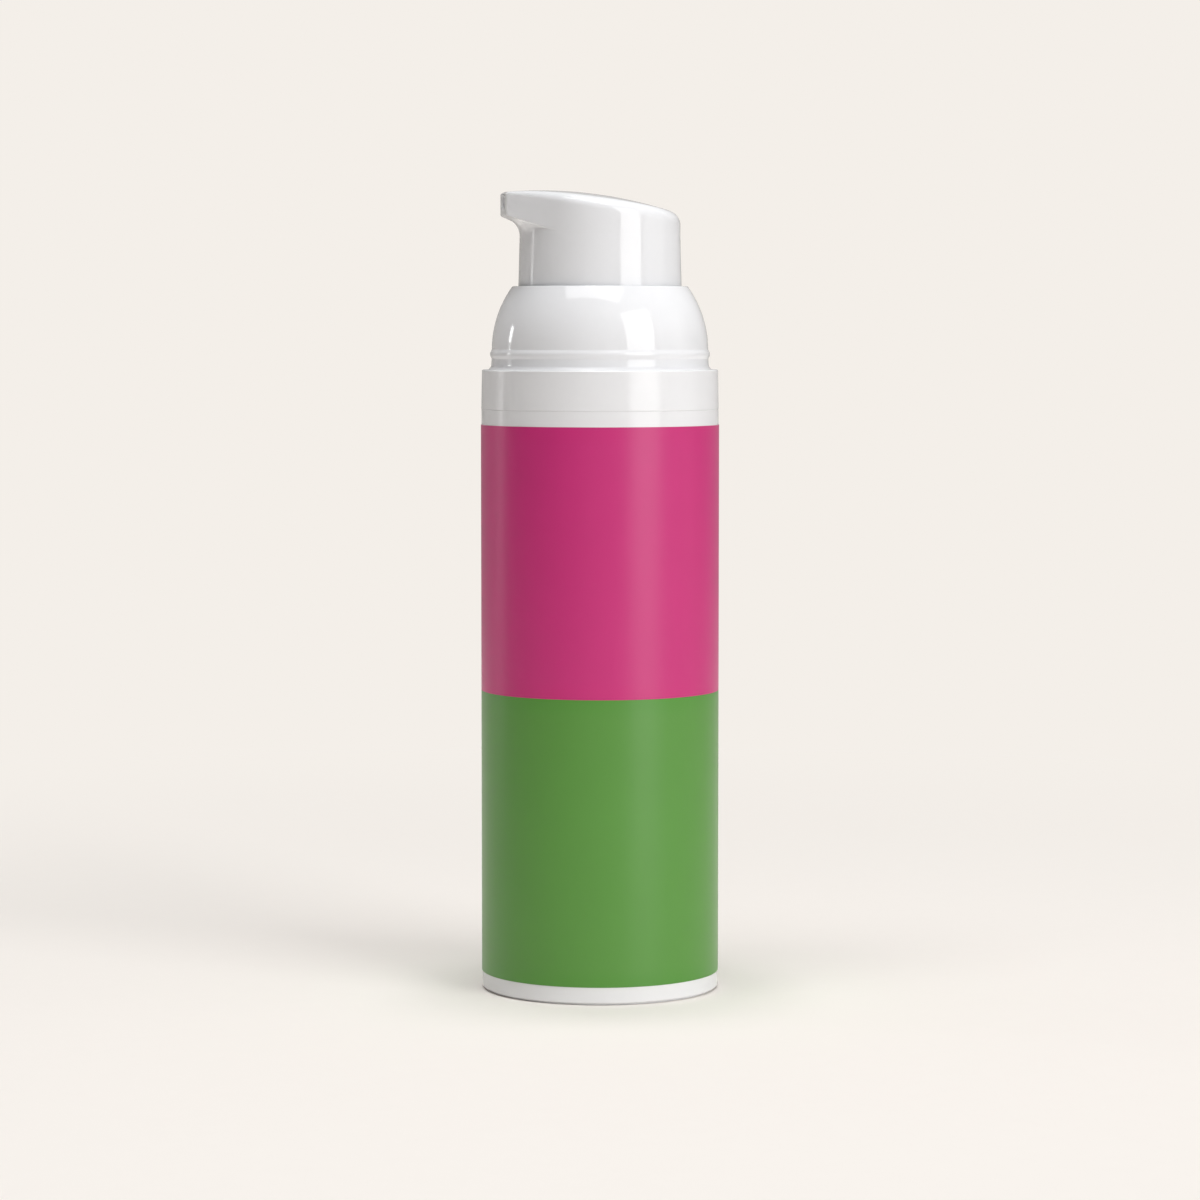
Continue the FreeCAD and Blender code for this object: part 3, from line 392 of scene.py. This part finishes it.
def printed_film(name, ink, deep_ink, foot, top):
    """Satin film with a flat printed colour: fine ink grain, faint streaks along the web, a little more ink
    near the print's edges, and the white film showing on the cut edge itself."""
    material = bpy.data.materials.new(name)
    shading = Shading(material)
    spot = shading.place()
    height = shading.node("ShaderNodeSeparateXYZ", {}, {"Vector": spot}, "Z")
    ink_grain = shading.noise(spot, 0.16 * mm, 2.0)
    mottle = shading.noise(spot, 7 * mm, 4.0)
    streaks = shading.noise(spot, 1.6 * mm, 2.0, (1.0, 1.0, 60.0))
    share = mottle * 0.6 + streaks * 0.12 + ink_grain * 0.28
    heavy = tuple(c * 0.96 for c in ink) + (1.0,)
    thin = tuple(min(c * 1.04 + 0.002, 1.0) for c in ink) + (1.0,)
    tone = shading.blend(share, heavy, thin)
    from_edge = (height - foot * mm).smaller(top * mm - height)
    rim = (1 - from_edge.step_from(0.2 * mm, 3.2 * mm)) * (mottle * 0.9 + 0.1)
    tone = shading.blend(rim * 0.55, tone, deep_ink + (1.0,))
    from_cut = (height - film_foot * mm).smaller(film_top * mm - height)
    cut = 1 - from_cut.step_from(0.012 * mm, 0.045 * mm)
    tone = shading.blend(cut * 0.6, tone, (0.80, 0.79, 0.78, 1.0))
    rough = streaks * 0.04 + ink_grain * 0.04 + 0.30
    film_waves = shading.noise(spot, 9 * mm, 1.0, (1.0, 1.0, 2.0))
    relief = ink_grain * (0.0010 * mm) + streaks * (0.0004 * mm) + film_waves * (0.010 * mm)
    bump = shading.node("ShaderNodeBump", {}, {"Strength": 1.0, "Distance": 1.0, "Height": relief})
    shading.finish(shading.node("ShaderNodeBsdfPrincipled", {}, {
        "Base Color": tone, "Roughness": rough, "Normal": bump, "IOR": 1.49}))
    return material


film_thickness = 0.08
film_glue = 0.02
film_radius = 18.42
film_lap = 4.0
film_lap_ramp = 1.2
film_foot = 2.75
film_boundary = 46.7
film_top = 88.0
lower_film = wrapped_film("green_label_film", film_foot, film_boundary)
green_print = printed_film("green_printed_film", (0.097, 0.29, 0.043), (0.068, 0.28, 0.025),
                           film_foot, film_boundary)
lower_film.data.materials.append(green_print)
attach(lower_film, "bottle")
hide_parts("label_lower_band")
upper_film = wrapped_film("pink_label_film", film_boundary, film_top)
pink_print = printed_film("pink_printed_film", (0.585, 0.026, 0.190), (0.60, 0.02, 0.177),
                          film_boundary, film_top)
upper_film.data.materials.append(pink_print)
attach(upper_film, "bottle")
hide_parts("label_upper_band")

# Collar ring. A slightly tapered trim ring of the same satin white plastic, pushed down on the sleeve's top
# edge so that only a fine seam shows, with a flat ledge above for an overcap to rest on.
collar_bore = 16.25
collar_foot_radius = 18.43
collar_top_radius = 18.31
collar_top = 96.5
collar_seam = 93.0
collar_section = rounded_path([
    (collar_bore, collar_seam, 0),
    (collar_bore, sleeve_height, 0.05),
    (collar_foot_radius, sleeve_height, 0.09),
    (collar_top_radius, collar_top, 0.22),
    (collar_bore, collar_top, 0.05),
    (collar_bore, collar_seam, 0),
])
collar = turned("collar_ring_trim", collar_section)
collar.data.materials.append(satin_white)
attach(collar, "bottle")
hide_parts("collar_ring")

# Domed closure. One glossy white moulding, screwless, that snaps over the neck and clamps the pump: a plain
# foot band, a fine bead that holds an overcap, and a spherical shoulder that is open at the top.
dome_centre = 99.5
dome_radius = 16.78
dome_inner = 15.58
dome_top = 109.34
dome_mouth = 13.05
closure_bore = 15.0
closure_outside = 16.2
closure_foot = 89.3
hook_inside = 14.5
hook_low = 90.55
hook_high = 91.55
disc_underside = 96.0
disc_topside = 97.2
disc_seam = 11.0
pump_hole = 7.25
band_foot_radius = 17.3
bead_centre = (16.15, 98.87)
bead_wire = 0.90
bead_angle = np.radians(np.linspace(-28.0, 28.0, 11))
bead = np.stack([bead_centre[0] + bead_wire * np.cos(bead_angle),
                 bead_centre[1] + bead_wire * np.sin(bead_angle), 0 * bead_angle], axis=-1)
outer_angle = np.arcsin(np.linspace(0.05, (dome_top - dome_centre) / dome_radius, 44))
outer_sphere = np.stack([dome_radius * np.cos(outer_angle),
                         dome_centre + dome_radius * np.sin(outer_angle), 0 * outer_angle], axis=-1)
outer_sphere[-1, 2] = 0.26
inner_foot = np.arccos(dome_mouth / dome_inner)
inner_angle = np.linspace(inner_foot, 0.0, 20)
inner_sphere = np.stack([dome_inner * np.cos(inner_angle),
                         dome_centre + dome_inner * np.sin(inner_angle), 0 * inner_angle], axis=-1)
inner_sphere[0, 2] = 0.1
dome_section = rounded_path(np.concatenate([
    [(disc_seam, disc_underside, 0), (closure_bore, disc_underside, 0.3),
     (closure_bore, hook_high, 0.1), (hook_inside, hook_high, 0.1), (closure_bore, hook_low, 0.1),
     (closure_bore, closure_foot, 0.15), (closure_outside, closure_foot, 0.2),
     (closure_outside, collar_top, 0.1), (band_foot_radius, collar_top, 0.02), (16.88, 97.0, 0.6),
     (16.81, 98.194, 0.40)],
    bead,
    [(dome_radius, 99.60, 0.50)],
    outer_sphere,
    [(dome_mouth, dome_top, 0.18)],
    inner_sphere,
    [(dome_inner, disc_topside, 0.4), (pump_hole, disc_topside, 0.15),
     (pump_hole, disc_underside, 0.15), (disc_seam, disc_underside, 0)],
]), 5)
gloss_white = moulded("gloss_white_polypropylene", (0.865, 0.87, 0.89), 0.085, 0.9 * mm, 0.0016 * mm)
dome = turned("domed_closure", dome_section, 192)
dome.data.materials.append(gloss_white)
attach(dome, "bottle")
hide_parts("dome_closure")

# Pump head. The outer shell of the actuator, glossy white: a round skirt that slides into the dome, a short
# spout with flat flanks and a sloping underside, and a thumb face that curves down to the back.
skirt_foot = 103.6
skirt_foot_radius = 12.8
skirt_root = 117.29
skirt_root_radius = 12.44
spout_reach = 15.1
spout_half = 3.5
spout_foot = 120.2
spout_slope = 0.36
tangent_reach = 8.05
tangent_half = 9.484
crown_radius = 65.0
crown_peak = 9.3
crown_top = 124.06
crown_width = 70.0
mouth_centre = 122.3
mouth_half = (1.6, 1.08)
mouth_corner = 0.7
mouth_depth = 2.2
tip_corner = 0.5
patch = 41
roof_height = 118.2
upper_bore = 11.24
lower_bore = 11.74
bore_step = 112.1
skirt_start = 1.2
throat_room = 2.4
throat_rounding = 3.0
lip_room = 0.42
end_depth = 0.2


def head_plan():
    """The head's outline from above, anticlockwise from the spout's end: the flat end, a rounded corner, a
    straight flank, the round back, the other flank and its corner. Gives (x, y) points in millimetres."""
    flank = np.array([spout_reach - tangent_reach, tangent_half - spout_half])
    flank /= np.hypot(*flank)
    bend = math.acos(flank[1])
    reach = tip_corner * math.tan(bend / 2)
    end = np.linspace(spout_half - reach, reach - spout_half, patch)
    end = np.stack([0 * end - spout_reach, end], axis=-1)
    curl = np.linspace(0, bend, 9)[1:]
    corner = np.stack([tip_corner * (1 - np.cos(curl)) - spout_reach,
                       reach - spout_half - tip_corner * np.sin(curl)], axis=-1)
    tangent = np.array([-tangent_reach, -tangent_half])
    run = np.linspace(0, 1, 26)[1:, None]
    side = corner[-1] + (tangent - corner[-1]) * run
    start = math.atan2(tangent_half, tangent_reach) - math.pi
    around = np.linspace(start, -start, 140)[1:-1]
    back = skirt_root_radius * np.stack([np.cos(around), np.sin(around)], axis=-1)
    mirror = np.array([1.0, -1.0])
    return np.concatenate([end, corner, side, back, side[::-1] * mirror, corner[::-1] * mirror])


def crown_height(x, y):
    """Height of the thumb face over a place: a circular arc along the spout, less a parabola across it."""
    along_spout = crown_top - crown_radius + np.sqrt(crown_radius**2 - (x + crown_peak) ** 2)
    return along_spout - y * y / (2 * crown_width)


def skirt_radius(height):
    """Radius of the round skirt: it narrows evenly up to its root and is straight above it."""
    share = np.clip((height - skirt_foot) / (skirt_root - skirt_foot), 0, 1)
    return skirt_foot_radius + (skirt_root_radius - skirt_foot_radius) * share


def respaced(paths, weights, count):
    """Points spread along many paths at once, (path, point, 2), evenly by the weight of each stretch."""
    gone = np.concatenate([np.zeros((len(paths), 1)), np.cumsum(weights, axis=1)], axis=1)
    gone = gone / gone[:, -1:] + 2 * np.arange(len(paths))[:, None]
    wanted = np.linspace(0, 1, count) + 2 * np.arange(len(paths))[:, None]
    parts = [np.interp(wanted.ravel(), gone.ravel(), paths[..., axis].ravel()) for axis in (0, 1)]
    return np.stack(parts, axis=-1).reshape(len(paths), count, 2)


def head_rows():
    """Rows of the head's surface, from the middle of its inner roof, down the bore, round the skirt's foot,
    up the outside and in over the thumb face. In the plane through the axis and each point of the plan, the
    outside is skirt, throat fillet, sloping underside, lower lip, upright wall, rounded rim and crown."""
    plan = head_plan()
    wall = np.hypot(plan[:, 0], plan[:, 1])
    ray = plan / wall[:, None]
    ahead = -ray[:, 0]
    count = len(plan)

    foot_height = spout_foot - spout_slope * (spout_reach - skirt_root_radius * ahead)
    foot_height = np.maximum(foot_height, skirt_root)
    lip_height = np.maximum(spout_foot - spout_slope * (spout_reach - wall * ahead), foot_height)
    throat = np.stack([skirt_radius(foot_height), foot_height], axis=-1)
    lip = np.stack([wall, lip_height], axis=-1)
    width = np.hypot(*(lip - throat).T)
    under = np.stack([0 * wall + 1.0, spout_slope * ahead], axis=-1)
    under /= np.hypot(*under.T)[:, None]
    upright = np.stack([0 * wall, 0 * wall + 1.0], axis=-1)
    fade = np.clip(width / 0.8, 0, 1)
    throat_steps, lip_steps = 14, 8
    at_end = plan[:, 0] < end_depth - spout_reach
    throat_arc = corner_arc(throat, upright, under, np.minimum(throat_rounding, 1.15 * width), throat_steps)
    lip_arc = corner_arc(lip, under, upright, np.minimum(0.05 + 0.25 * at_end, 0.2 * width), lip_steps)
    low = np.stack([skirt_radius(foot_height - throat_room), foot_height - throat_room], axis=-1)
    high = np.stack([wall, lip_height + lip_room], axis=-1)
    path = np.concatenate([low[:, None], throat_arc, lip_arc, high[:, None]], axis=1)
    weight = np.linalg.norm(np.diff(path, axis=1), axis=-1) + 1e-6
    weight[:, 1:throat_steps] += 0.16 * fade[:, None]
    weight[:, throat_steps + 1:throat_steps + lip_steps] += 0.26 * fade[:, None]
    shoulder = respaced(path, weight, 56)

    inner = rounded_path([(0.6, roof_height, 0), (upper_bore, roof_height, 0.3),
                          (upper_bore, bore_step, 0.1), (lower_bore, bore_step, 0.1),
                          (lower_bore, skirt_foot, 0.22), (skirt_foot_radius, skirt_foot, 0.28),
                          (skirt_foot_radius - 0.03, skirt_foot + skirt_start, 0)], 5)
    inner = np.broadcast_to(inner, (count,) + inner.shape)
    rise = np.linspace(0, 1, 18)[1:-1]
    skirt_run = foot_height[:, None] - throat_room - skirt_foot - skirt_start
    skirt_height = skirt_foot + skirt_start + skirt_run * rise
    skirt = np.stack([skirt_radius(skirt_height), skirt_height], axis=-1)

    back_share = (spout_reach + plan[:, 0]) / (spout_reach + skirt_root_radius)
    rim_rounding = 0.4 + 1.8 * (1 - (1 - back_share) ** 3)
    rim_height = crown_height(plan[:, 0], plan[:, 1])
    rim = np.stack([wall, rim_height], axis=-1)
    inside = np.stack([wall - 1.0, crown_height(*(plan * (1 - 1 / wall)[:, None]).T)], axis=-1)
    inwards = inside - rim
    inwards /= np.hypot(*inwards.T)[:, None]
    rim_arc = corner_arc(rim, upright, inwards, rim_rounding, 14)
    climb = np.linspace(0, 1, patch + 1)[1:]
    wall_height = high[:, 1:] + (rim_arc[:, 0, 1:] - high[:, 1:]) * climb
    face = np.stack([wall[:, None] + 0 * wall_height, wall_height], axis=-1)
    share_left = np.linspace(1, 0, 30)
    left = rim_arc[:, -1, :1] * share_left
    crown = np.stack([left, crown_height(left * ray[:, :1], left * ray[:, 1:])], axis=-1)
    crown[..., 1] += (rim_arc[:, -1, 1:] - crown[:, :1, 1]) * share_left**8
    crown = crown[:, 1:-1]

    path = np.concatenate([inner, skirt, shoulder, face, rim_arc[:, 1:], crown], axis=1)
    rows = np.stack([path[..., 0] * ray[:, :1], path[..., 0] * ray[:, 1:], path[..., 1]], axis=-1)
    face_start = inner.shape[1] + skirt.shape[1] + shoulder.shape[1]
    return rows.transpose(1, 0, 2), face_start


def rounded_box(across, up, half, corner):
    """A point on the edge of a box, pulled in to the rounded corners: the nearest point of the box without
    its corners' rounding, plus that rounding towards the point."""
    core_x = np.clip(across, corner - half[0], half[0] - corner)
    core_z = np.clip(up, corner - half[1], half[1] - corner)
    away = np.maximum(np.hypot(across - core_x, up - core_z), 1e-9)
    return core_x + corner * (across - core_x) / away, core_z + corner * (up - core_z) / away


def open_mouth(rows, face_start):
    """Turns the square patch of grid on the spout's end into the mouth. Its nested square rings become,
    from the outside in, the flat end, the rounded rim, the wall of the recess and its floor."""
    flat_rings, rim_rings, wall_rings, bottom_rings = 5, 6, 4, 7
    rim = 0.09
    step = np.arange(patch)
    up, across = np.meshgrid(step, step, indexing="ij")
    half_count = (patch - 1) / 2
    from_middle_x = (half_count - across) / half_count
    from_middle_z = (up - half_count) / half_count
    reach = np.maximum(np.abs(from_middle_x), np.abs(from_middle_z))
    ring = np.round((1 - reach) * half_count).astype(int)
    safe = np.maximum(reach, 1e-9)
    unit_x, unit_z = from_middle_x / safe, from_middle_z / safe
    block = rows[face_start:face_start + patch, :patch]
    edge_y = block[0, 0, 1] * unit_x
    low_z, high_z = block[0, 0, 2], block[-1, 0, 2]
    edge_z = 0.5 * (low_z + high_z) + 0.5 * (high_z - low_z) * unit_z
    turn = np.radians(np.linspace(0, 90, rim_rings))
    flat_share = np.concatenate([np.linspace(0, 1, flat_rings + 1), np.ones(patch)])[ring]
    spread = np.concatenate([np.full(flat_rings, rim), rim * (1 - np.sin(turn)), np.zeros(patch)])[ring]
    depth = np.concatenate([np.zeros(flat_rings), rim * (1 - np.cos(turn)),
                            np.linspace(0.5, mouth_depth, wall_rings), np.full(patch, mouth_depth)])[ring]
    floor_share = np.concatenate([np.ones(flat_rings + rim_rings + wall_rings - 1),
                                  np.linspace(0.86, 0, bottom_rings)])[ring]
    half = (mouth_half[0] + spread, mouth_half[1] + spread)
    mouth_y, mouth_z = rounded_box(unit_x * half[0], unit_z * half[1], half, mouth_corner + spread)
    mouth_y, mouth_z = mouth_y * floor_share, mouth_z * floor_share
    inner = ring > 0
    block[..., 0] = np.where(inner, depth - spout_reach, block[..., 0])
    block[..., 1] = np.where(inner, edge_y + (mouth_y - edge_y) * flat_share, block[..., 1])
    block[..., 2] = np.where(inner, edge_z + (mouth_z + mouth_centre - edge_z) * flat_share, block[..., 2])


rows, face_start = head_rows()
open_mouth(rows, face_start)
head = skin("pump_head_shell", rows, first_pole=(0.0, 0.0, roof_height),
            last_pole=(0.0, 0.0, float(crown_height(0.0, 0.0))))
head.data.materials.append(gloss_white)
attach(head, "pump_head")
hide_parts("actuator_shell")


# Nozzle insert. A small white plug with one round orifice, pressed into the spout's mouth and set back a
# little from its rim.
def plug_rows():
    """Rounded box outline that becomes a circle at the orifice. Along the section it runs up the outside,
    over the front face, down the orifice and back over the rear face."""
    angle = math.pi / 4 - np.linspace(0, 2 * math.pi, 72, endpoint=False)
    square = np.maximum(np.abs(np.cos(angle)), np.abs(np.sin(angle)))
    unit_y, unit_z = np.cos(angle) / square, np.sin(angle) / square
    path = rounded_path([(0.0, insert_seam, 0), (0.0, 0.0, 0.14), (1.0, 0.0, 0.10),
                         (1.0, insert_depth, 0.05), (0.0, insert_depth, 0.05),
                         (0.0, insert_seam, 0)], 4)[:-1]
    share, depth = path[:, :1], path[:, 1:]
    box_y, box_z = rounded_box(unit_y * insert_half[0], unit_z * insert_half[1], insert_half, insert_corner)
    circle_y, circle_z = orifice_radius * np.cos(angle), orifice_radius * np.sin(angle)
    side = box_y + (circle_y - box_y) * share
    up = box_z + (circle_z - box_z) * share
    return np.stack([insert_face + depth + 0 * side, side, mouth_centre + up], axis=-1)


insert_face = -14.3
insert_half = (1.55, 1.03)
insert_corner = 0.65
insert_depth = 1.35
insert_seam = 0.7
orifice_radius = 0.6
insert = skin("nozzle_plug", plug_rows(), closed=True)
insert.data.materials.append(satin_white)
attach(insert, "pump_head")
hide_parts("nozzle_insert")


# Base cap. The recessed disc that closes the bottom, in white plastic like the sleeve's, with a vent in
# the middle and a coarser spark-eroded face that never shows when the bottle stands.
def refinish(names, material):
    """Gives the construction model's own pieces of these names a finish."""
    for name in names:
        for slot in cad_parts[name].material_slots:
            slot.material = material


base_plastic = moulded("base_cap_polypropylene", (0.84, 0.84, 0.835), 0.50, 0.22 * mm, 0.006 * mm, 0.03)
refinish(("base_cap",), base_plastic)

# Inner vial, pump cylinder, ball retainer, guide cap, stem, valve rod and the head's inner core. All are
# natural, slightly milky polypropylene mouldings that snap or press together inside the white parts.
natural_plastic = moulded("natural_polypropylene", (0.80, 0.81, 0.80), 0.34, 0.5 * mm, 0.003 * mm, 0.035)
refinish(("inner_cartridge", "pump_housing", "ball_retainer", "guide_cap", "stem", "valve_rod",
          "actuator_core"), natural_plastic)

# Follower piston and metering piston. Softer, waxy polyethylene with thin lips that wipe the walls.
soft_plastic = moulded("soft_polyethylene", (0.83, 0.83, 0.80), 0.46, 0.35 * mm, 0.004 * mm, 0.04, 0.4)
refinish(("follower_piston", "metering_piston"), soft_plastic)

# Neck gasket. A moulded washer of matt grey elastomer, squeezed between the neck and the pump's flange.
elastomer = moulded("gasket_elastomer", (0.55, 0.55, 0.545), 0.72, 0.09 * mm, 0.006 * mm, 0.06, 0.3)
refinish(("neck_gasket",), elastomer)


# Return spring. Drawn stainless wire wound round the stem, with closed ends that are ground flat. It
# stands on the guide cap, and shortens under the stem's seat by the pump's whole stroke.
def wound_wire():
    """A circle of the wire's radius carried up a helix. The pitch is just over the wire's width in the
    closed coils and eases to a wider one between them. What would pass the two ground faces is flattened
    on them. Gives the rows, and each point's place on the straightened wire: two across and one along."""
    turn = np.linspace(0, spring_turns, 61 * spring_turns)
    open_start = np.clip((turn - closed_turns) / 0.5, 0, 1)
    open_end = np.clip((spring_turns - closed_turns - turn) / 0.5, 0, 1)
    opened = open_start**2 * (3 - 2 * open_start) * open_end**2 * (3 - 2 * open_end)
    opened = np.cumsum(opened) / np.sum(opened)
    closed_pitch = 2 * wire_radius + 0.02
    climb = spring_top - spring_foot - wire_radius
    spare = climb - closed_pitch * spring_turns
    middle = spring_foot + 0.5 * wire_radius + closed_pitch * turn + spare * opened
    angle = 2 * math.pi * turn[:, None]
    around = np.linspace(0, -2 * math.pi, 16, endpoint=False)
    across, up = wire_radius * np.cos(around), wire_radius * np.sin(around)
    radius = spring_radius + across
    height = np.clip(middle[:, None] + up, spring_foot, spring_top)
    rows = np.stack([radius * np.cos(angle), radius * np.sin(angle), height], axis=-1)
    along = spring_radius * angle
    return rows, np.stack([across + 0 * along, up + 0 * along, along + 0 * across], axis=-1)


def steel(name, colour, roughness, line_size, line_length, wire_place=None):
    """Bare stainless steel: fine lines of the given size, line_length times as long, and a faint clouding.
    On wound wire, wire_place names the attribute that says where a point lies on the straight wire."""
    material = bpy.data.materials.new(name)
    shading = Shading(material)
    spot = shading.place()
    if wire_place:
        spot = shading.node("ShaderNodeAttribute", {"attribute_name": wire_place}, out="Vector")
    lines = shading.noise(spot, line_size, 3.0, (1.0, 1.0, line_length))
    clouds = shading.noise(spot, 3 * mm, 2.0)
    dark = tuple(c * 0.9 for c in colour) + (1.0,)
    tone = shading.blend(clouds * 0.6 + lines * 0.4, dark, colour + (1.0,))
    rough = lines * 0.10 + clouds * 0.05 + roughness
    relief = lines * (0.0015 * mm)
    bump = shading.node("ShaderNodeBump", {}, {"Strength": 1.0, "Distance": 1.0, "Height": relief})
    shading.finish(shading.node("ShaderNodeBsdfPrincipled", {}, {
        "Base Color": tone, "Metallic": 1.0, "Roughness": rough, "Normal": bump}))
    return material


wire_radius = 0.4
spring_radius = 4.1
spring_foot = 97.3
spring_top = 109.5
spring_turns = 5
closed_turns = 0.75
wire_rows, wire_places = wound_wire()
spring = skin("return_spring_coil", wire_rows, first_pole=wire_rows[0].mean(axis=0),
              last_pole=wire_rows[-1].mean(axis=0))
wire_places = np.concatenate([wire_places.reshape(-1, 3), wire_places[[0, -1]].mean(axis=1)]) * mm
wire_attribute = spring.data.attributes.new("wire_place", "FLOAT_VECTOR", "POINT")
wire_attribute.data.foreach_set("vector", wire_places.ravel())
drawn_wire = steel("drawn_spring_wire", (0.60, 0.59, 0.57), 0.24, 0.05 * mm, 40.0, "wire_place")
spring.data.materials.append(drawn_wire)
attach(spring, "bottle")
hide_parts("return_spring")
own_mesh(spring)

# Inlet ball. A stainless steel ball, ground and polished, that rests loose on its seat in the inlet.
ball_steel = steel("polished_ball_steel", (0.66, 0.66, 0.65), 0.08, 0.05 * mm, 1.0)
refinish(("inlet_ball",), ball_steel)

bpy.context.scene.view_settings.view_transform = "Standard"
